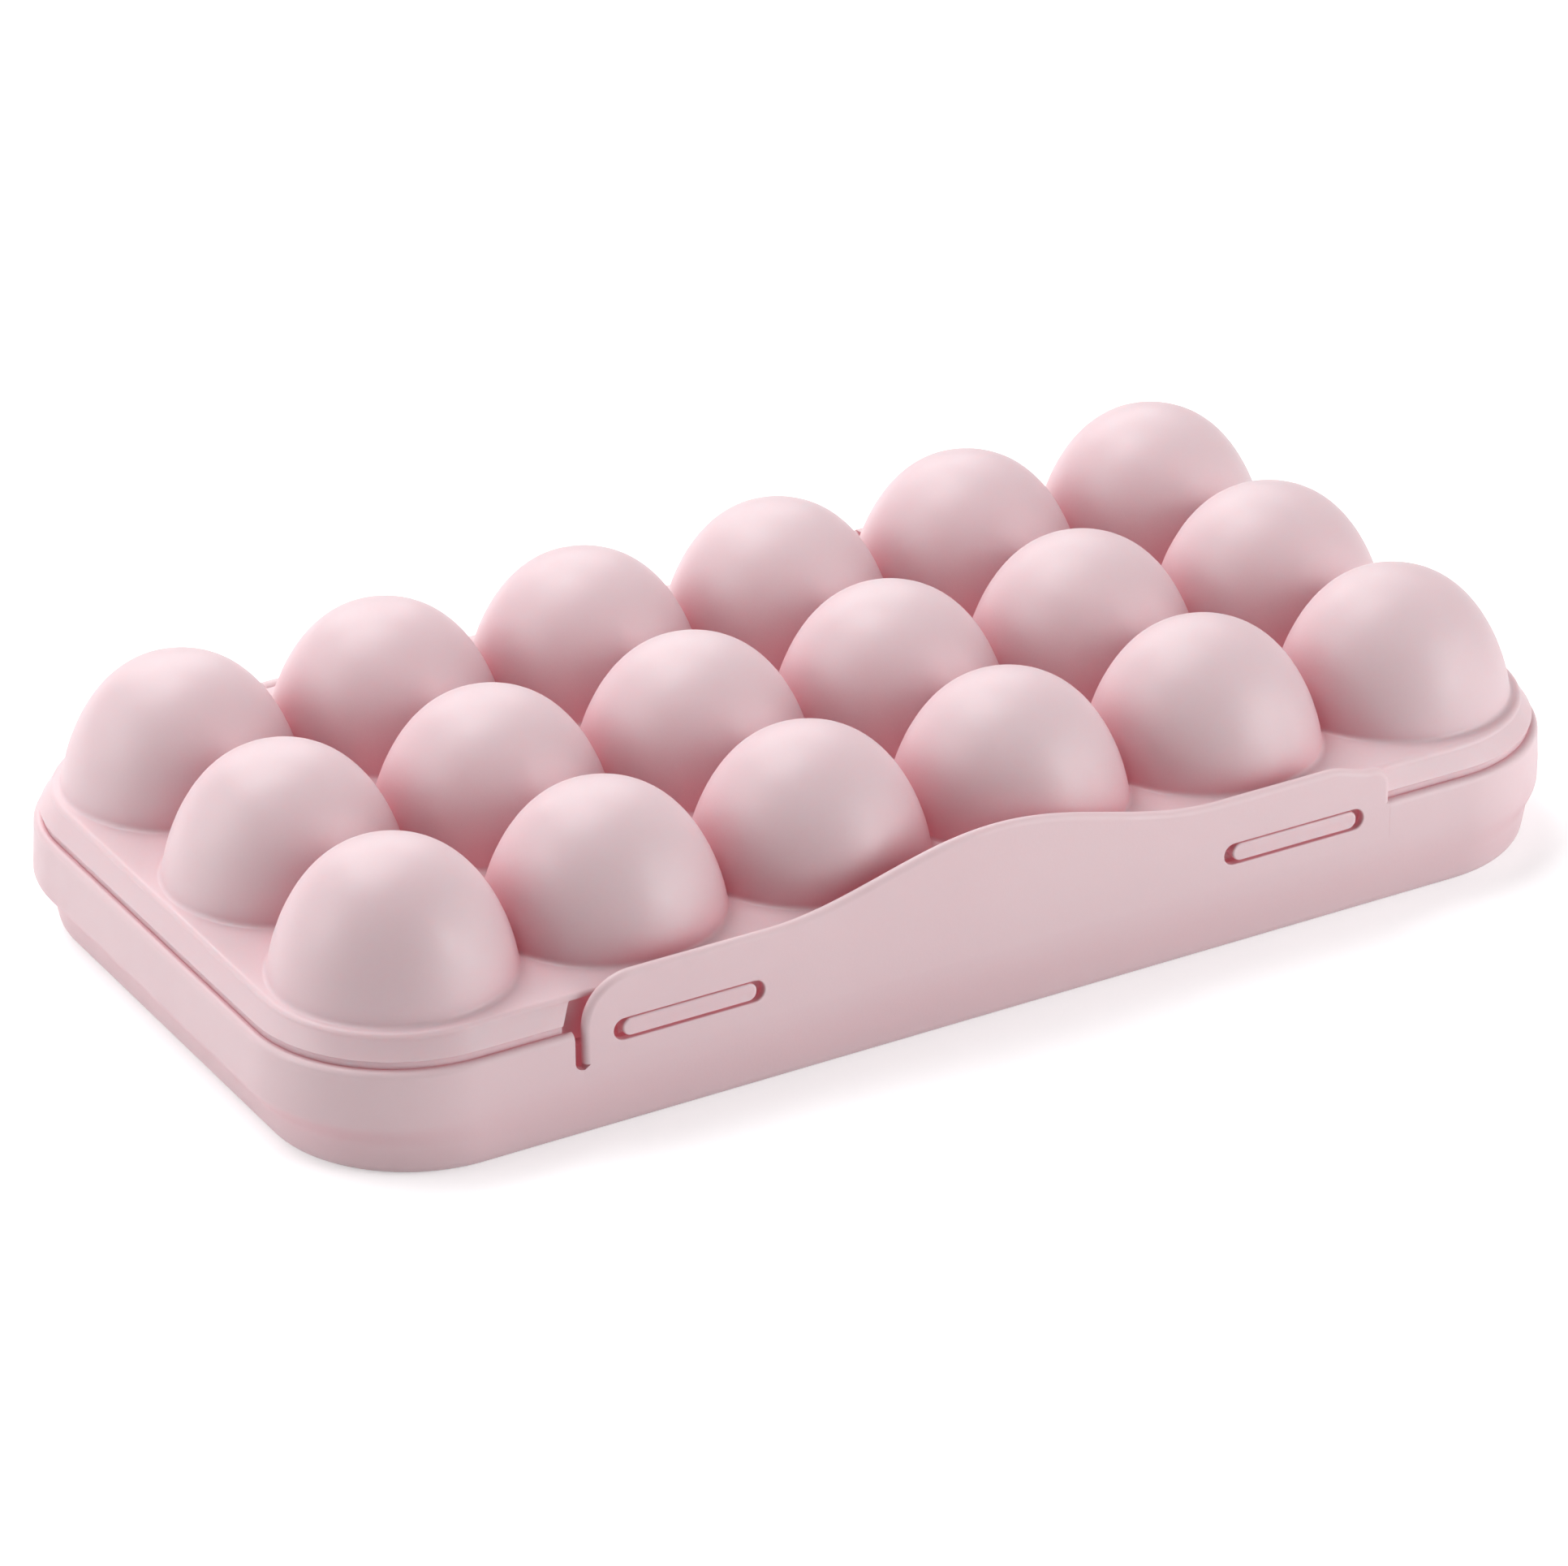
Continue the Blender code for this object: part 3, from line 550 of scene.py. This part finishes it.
for side in (-1, 1):
    slot = rounded_slot(latch_x + side * slot_offset, slot_length, slot_h,
                        -half_w - tray_wall, -half_w + 2 * tray_wall)
    apply_boolean(panel, "DIFFERENCE", slot)
bpy.ops.object.mode_set(mode="EDIT")
select("edges", lambda middle, edge: abs(abs(middle.x - latch_x) - slot_offset) < slot_length / 2 + 0.0005
       and abs(middle.z - slot_z) < slot_h / 2 + 0.0002
       and abs(edge.verts[0].co.y - edge.verts[1].co.y) < tiny
       and min(abs(middle.y + half_w), abs(middle.y + half_w - tray_wall)) < tiny
       and edge.calc_face_angle(0) > 0.5)
bpy.ops.mesh.bevel(offset=slot_edge_r, segments=3, affect="EDGES")
bpy.ops.mesh.select_all(action="SELECT")
bpy.ops.mesh.bisect(plane_co=(0, 0, bend_z), plane_no=(0, 0, 1), threshold=0.000001)
select("verts", lambda middle, vert: abs(middle.z - panel_foot_z) < tiny)
bpy.ops.transform.translate(value=(0, front_lean * (1 - panel_foot_z / bend_z), 0))
# rows of faces across the root, so that it bends smoothly
for row in range(1, bend_rows + 1):
    bpy.ops.mesh.select_all(action="SELECT")
    bpy.ops.mesh.bisect(plane_co=(0, 0, panel_foot_z + bend_row_h * row), plane_no=(0, 0, 1),
                        threshold=0.000001)
finished(panel)
panel.data.materials.append(tray_pink)
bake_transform(panel)
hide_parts("latch_panel")


# The lid is one moulded shell: eighteen hollow egg-shaped domes that grow out of a flat deck, a leaning
# flange round the edge, and a skirt that drops inside the tray. Two lugs on the skirt stand in the
# panel's slots.
deck_z, lid_wall, flange_z = 0.0338, 0.0015, 0.0285
flange_set, flange_lean, edge_r = 0.0014, 0.0026, 0.0014
skirt_inset, skirt_z, lip_gap = 0.0026, 0.0222, 0.00006
dome_r, dome_h, flare_r = 0.0274, 0.0297, 0.0012
cavity_r, crown_wall, cavity_flare_r = 0.0252, 0.0015, 0.0005
height_power, width_power, between_r = 1.4555, 2.4821, 0.012
lug_proud, lug_root, lug_rise, lug_edge_r = 0.0003, 0.0034, 0.0003, 0.0005
lug_end_gap, lug_edge_gap = 0.0021, 0.00045
notch_reach, notch_length, notch_slant, deck_skin = 0.0044, 0.0140, 0.003, 0.001
inner_front, inner_back, inner_length = 0.0056, 0.0070, 0.018


def dome_line(radius, height, base_z, flare, flare_z):
    """Profile of an egg-shaped dome from its crown down, ending in a flare that runs level at flare_z."""
    points = []
    for step in range(23):
        share = math.cos(math.radians(90 * step / 22))
        if base_z + height * share > flare_z + flare:
            bulge = (1 - share ** height_power) ** (1 / width_power)
            points.append((radius * bulge, 0, base_z + height * share))
    edge = radius
    if flare_z + flare > base_z:
        edge *= (1 - ((flare_z + flare - base_z) / height) ** height_power) ** (1 / width_power)
    for step in range(6):
        turn = math.radians(90 * step / 5)
        points.append((edge + flare * (1 - math.cos(turn)), 0, flare_z + flare * (1 - math.sin(turn))))
    return points


domes = at_each_egg(spun("dome", dome_line(dome_r, dome_h, deck_z, flare_r, deck_z), 64))
for number, (dome, (x, y)) in enumerate(zip(domes, egg_places)):
    column, row = number % columns, number // columns
    bpy.ops.object.select_all(action="DESELECT")
    bpy.context.view_layer.objects.active = dome
    dome.select_set(True)
    bpy.ops.object.mode_set(mode="EDIT")
    for meets, across, along in ((column > 0, -1, 0), (column < columns - 1, 1, 0),
                                 (row > 0, 0, -1), (row < rows - 1, 0, 1)):
        if meets:
            bpy.ops.mesh.select_all(action="SELECT")
            bpy.ops.mesh.bisect(plane_co=(x + across * pitch / 2, y + along * pitch / 2, 0),
                                plane_no=(across, along, 0), clear_outer=True, threshold=0.000001)
    bpy.ops.object.mode_set(mode="OBJECT")
lid = join(domes)
lid.name = "domed_lid"
bpy.ops.mesh.select_all(action="SELECT")
bpy.ops.mesh.remove_doubles(threshold=0.00001)
for column in range(columns - 1):
    for row in range(rows - 1):
        x, y = (column - (columns - 2) / 2) * pitch, (row - (rows - 2) / 2) * pitch
        select("edges", lambda middle, edge: edge.is_boundary
               and math.hypot(middle.x - x, middle.y - y) < between_r)
        bpy.ops.mesh.edge_face_add()
bpy.ops.object.mode_set(mode="OBJECT")

sheet = new_mesh("lid_edge")
lean_top = flange_set + flange_lean
turns = [math.radians(t) for t in (90, 72, 54, 36, 18, 0)]
rings = [(lean_top + edge_r * (1 - math.cos(t)), deck_z - edge_r * (1 - math.sin(t))) for t in turns]
rings += [(flange_set + 0.0002, flange_z + 0.0003), (flange_set + 0.0001, flange_z + 0.0001)]
rings += [(flange_set + 0.0003, flange_z)]
rings += [(flange_set + 0.0005, flange_z - 0.0002), (flange_set + 0.0006, flange_z - 0.0006),
          (tray_wall + lip_gap, flange_z - 0.0011), (tray_wall + lip_gap, 0.0262)]
rings += [(skirt_inset, 0.0250), (skirt_inset, skirt_z + 0.0003)]
rings += [(skirt_inset + 0.0003, skirt_z), (skirt_inset + lid_wall - 0.0003, skirt_z)]
rings += [(skirt_inset + lid_wall, skirt_z + 0.0003), (skirt_inset + lid_wall, flange_z)]
rings += [(lean_top + lid_wall + edge_r, deck_z - lid_wall)]
skin(rings)
bpy.ops.object.mode_set(mode="OBJECT")
lid = join([lid, sheet])
fill_level(deck_z)
bpy.ops.object.mode_set(mode="OBJECT")
hollow_line = dome_line(cavity_r, dome_h - crown_wall, deck_z, cavity_flare_r, deck_z - lid_wall)
cavities = at_each_egg(spun("cavity", hollow_line, 56))
lid = join([lid] + cavities)
fill_level(deck_z - lid_wall)
close_up()
bpy.ops.object.mode_set(mode="OBJECT")

for side in (-1, 1):
    roots = ((half_w - 0.0022, flange_z + 0.0004), (half_w - 0.0046, 0.0317))
    apply_boolean(lid, "UNION", hinge_leaf("knuckle", side * hinge_x, knuckle_w, roots))
    apply_boolean(lid, "DIFFERENCE", pin_bore(side * hinge_x))

# the flange is cut away behind the latch panel; at the panel's left end the cut goes deeper, has a slanted
# side, and stops at a short inner wall
notch_left, notch_right = panel_left - notch_reach, panel_right + hairline
through, notch_top = lean_top + lid_wall + edge_r + 0.001, deck_z - deck_skin
for right, depth in ((notch_right, skirt_inset), (notch_left + notch_length, through)):
    notch = block("notch", (notch_left, -half_w - overrun, skirt_z - overrun),
                  (right, -half_w + depth, notch_top))
    bpy.ops.mesh.select_all(action="SELECT")
    bpy.ops.mesh.bisect(plane_co=(0, 0, flange_z), plane_no=(0, 0, 1), threshold=0.000001)
    select("verts", lambda middle, vert: abs(middle.x - notch_left) < tiny and middle.z > notch_top - tiny)
    bpy.ops.transform.translate(value=(notch_slant, 0, 0))
    apply_boolean(lid, "DIFFERENCE", notch)
inner_wall = block("inner_wall", (notch_left - 0.001, -half_w + inner_front, skirt_z),
                   (notch_left + inner_length, -half_w + inner_back, deck_z - 0.0008))
apply_boolean(lid, "UNION", inner_wall)

# the lugs fill their slots but for a gap at both ends, and their faces are eased
for side in (-1, 1):
    lug = rounded_slot(latch_x + side * slot_offset, slot_length - 2 * lug_end_gap,
                       slot_h - 2 * lug_edge_gap, -half_w - lug_proud, -half_w + lug_root)
    select("edges", lambda middle, edge: all(abs(v.co.y + half_w + lug_proud) < tiny for v in edge.verts))
    bpy.ops.mesh.bevel(offset=lug_edge_r, segments=4, affect="EDGES")
    bpy.ops.mesh.select_all(action="SELECT")
    bpy.ops.transform.translate(value=(0, 0, lug_rise))
    apply_boolean(lid, "UNION", lug)
finished(lid)
lid_pink = pink_plastic(
    "lid_pink", (0.785, 0.574, 0.608), (0.800, 0.598, 0.629), smoothest=0.40, roughest=0.50,
    grain=1700, depth=0.00005, through=0.4)
lid.data.materials.append(lid_pink)
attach(lid, "lid")
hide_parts("lid")


# Two short pins of the same plastic are pressed through the ears, and the lid's knuckles turn on them.
pin_r, pin_head_r, pin_tip, head_gap, head_w = 0.0012, 0.0021, 0.0004, 0.0003, 0.0010
for side, name in ((-1, "hinge_pin_left"), (1, "hinge_pin_right")):
    half = knuckle_w / 2 + hinge_gap + ear_w
    x, head, end = side * hinge_x, half + head_gap, half + head_gap + head_w
    across = [(0, -half), (pin_r - pin_tip, -half), (pin_r - pin_tip / 3, -half + pin_tip / 3),
              (pin_r, -half + pin_tip), (pin_r, head), (pin_head_r, head), (pin_head_r, end - pin_tip),
              (pin_head_r - pin_tip / 3, end - pin_tip / 3), (pin_head_r - pin_tip, end), (0, end)]
    pin = spun(name + "_turned", [(x + side * along, hinge_y + r, hinge_z) for r, along in across], 40,
               center=(x, hinge_y, hinge_z), axis=(1, 0, 0))
    bpy.ops.object.mode_set(mode="EDIT")
    close_up()
    finished(pin)
    pin.data.materials.append(rack_pink)
    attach(pin, "tray")
    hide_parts(name)


# The studio: a white ground, large soft lights on the left, above and behind, and two at the front right,
# with none beside the camera, which leaves the soft dark band down each dome's front.
bpy.ops.object.select_all(action="DESELECT")
bpy.ops.mesh.primitive_plane_add(size=14, location=(0, 0, -0.0002))
floor = bpy.context.object
floor.name = "studio_floor"
floor_white = bpy.data.materials.new("studio_white")
floor_white.use_nodes = True
nodes, links = floor_white.node_tree.nodes, floor_white.node_tree.links
matt = nodes["Principled BSDF"]
matt.inputs["Base Color"].default_value = (0.86, 0.85, 0.86, 1)
matt.inputs["Roughness"].default_value = 0.9
matt.inputs["Specular IOR Level"].default_value = 0.1
# the ground's own light is seen by the camera and in the plastic's shine, and doesn't light the box
glow, both, seen, rays = (nodes.new("ShaderNode" + kind)
                          for kind in ("Emission", "AddShader", "Math", "LightPath"))
glow.inputs["Color"].default_value = (1, 1, 1, 1)
seen.operation = "MAXIMUM"
links.new(rays.outputs["Is Camera Ray"], seen.inputs[0])
links.new(rays.outputs["Is Glossy Ray"], seen.inputs[1])
level = nodes.new("ShaderNodeMath")
level.operation = "MULTIPLY"
level.inputs[1].default_value = 0.45
links.new(seen.outputs[0], level.inputs[0])
links.new(level.outputs[0], glow.inputs["Strength"])
links.new(matt.outputs[0], both.inputs[0])
links.new(glow.outputs[0], both.inputs[1])
links.new(both.outputs[0], nodes["Material Output"].inputs["Surface"])
floor.data.materials.append(floor_white)

world = bpy.data.worlds.new("studio")
bpy.context.scene.world = world
world.use_nodes = True
nodes, links = world.node_tree.nodes, world.node_tree.links
sky = nodes["Background"]
sky.inputs["Color"].default_value = (1, 1, 1, 1)
rays, mix = nodes.new("ShaderNodeLightPath"), nodes.new("ShaderNodeMapRange")
mix.inputs["To Min"].default_value = 0.08
mix.inputs["To Max"].default_value = 1.0
links.new(rays.outputs["Is Camera Ray"], mix.inputs["Value"])
gleam, strength = nodes.new("ShaderNodeMath"), nodes.new("ShaderNodeMath")
gleam.operation = "MULTIPLY"
gleam.inputs[1].default_value = 0.4
strength.operation = "MAXIMUM"
links.new(rays.outputs["Is Glossy Ray"], gleam.inputs[0])
links.new(gleam.outputs[0], strength.inputs[0])
links.new(mix.outputs["Result"], strength.inputs[1])
links.new(strength.outputs[0], sky.inputs["Strength"])

aim = Vector((0, 0, 0.03))
for name, place, width, height, power in (
    ("light_left", (-1.5, 0.5, 0.75), 1.2, 1.0, 10.5),
    ("light_above", (-0.3, 0.7, 1.6), 1.4, 1.1, 22.5),
    ("light_front_right", (0.9, -1.4, 0.6), 0.7, 1.0, 13.0),
    ("light_right", (1.5, -0.9, 0.4), 1.1, 1.0, 7.0),
    ("light_back", (0.4, 1.6, 0.9), 1.6, 0.8, 11.5),
):
    bpy.ops.object.light_add(type="AREA", location=place)
    lamp = bpy.context.object
    lamp.name = name
    lamp.data.shape = "RECTANGLE"
    lamp.data.size = width
    lamp.data.size_y = height
    lamp.data.energy = power
    lamp.rotation_euler = (aim - Vector(place)).to_track_quat("-Z", "Y").to_euler()

# The camera looks down a little from the left front, from far off with a long lens.
turn, tilt, roll = math.radians(29.7401), math.radians(27.362), math.radians(-0.5521)
looked_at, distance = Vector((-0.002461, 0, 0.021463)), 1.726
look = Vector((math.sin(turn) * math.cos(tilt), math.cos(turn) * math.cos(tilt), -math.sin(tilt)))
right = Vector((math.cos(turn), -math.sin(turn), 0))
up = right.cross(look)
level_right = right * math.cos(roll) + up * math.sin(roll)
level_up = up * math.cos(roll) - right * math.sin(roll)
stand = Matrix((level_right, level_up, -look)).transposed().to_4x4()
stand.translation = looked_at - look * distance
bpy.ops.object.camera_add()
camera = bpy.context.object
camera.matrix_world = stand
camera.data.lens = 172.37
camera.data.sensor_width = 36
camera.data.clip_start = 0.1
camera.data.clip_end = 30
bpy.context.scene.camera = camera
bpy.context.scene.view_settings.view_transform = "Standard"
